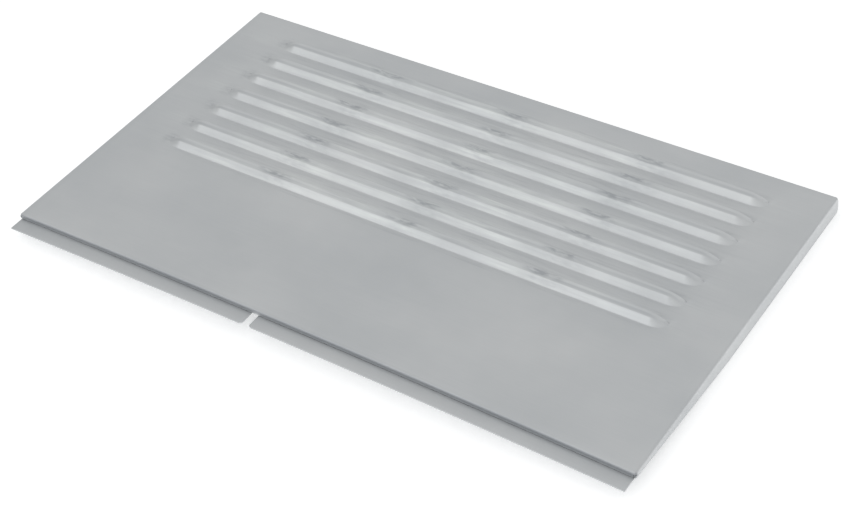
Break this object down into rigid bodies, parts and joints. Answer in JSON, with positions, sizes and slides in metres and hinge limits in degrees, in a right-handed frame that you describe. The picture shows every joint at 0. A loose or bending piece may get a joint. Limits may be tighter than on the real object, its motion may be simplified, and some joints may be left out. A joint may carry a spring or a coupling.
{
  "type": "louvred air grille",
  "caption": "Folded sheet-metal vent panel with long pressed louvres, tapered side flanges, joggled tongues along one edge and leaf catches in the opposite flange.",
  "frame": {"origin": "centre of the bounding box's underside", "axes": "the panel lies face up on its flanges: +X along the louvres, +Z out of the face, tongues towards -Y, rear flange with the catches towards +Y"},
  "size_m": [0.6, 0.3568, 0.022],
  "materials": {
    "sheet": "bare satin sheet metal, very fine mill grain",
    "spring": "bright spring strip",
    "rivet": "satin, slightly domed heads"
  },
  "bodies": {
    "root": {"face_panel": "sheet", "tongue_left": "sheet", "tongue_right": "sheet", "catch_left": "spring", "catch_right": "spring", "catch_rivet_left_1": "rivet", "catch_rivet_left_2": "rivet", "catch_rivet_right_1": "rivet", "catch_rivet_right_2": "rivet"}
  },
  "joints": []
}
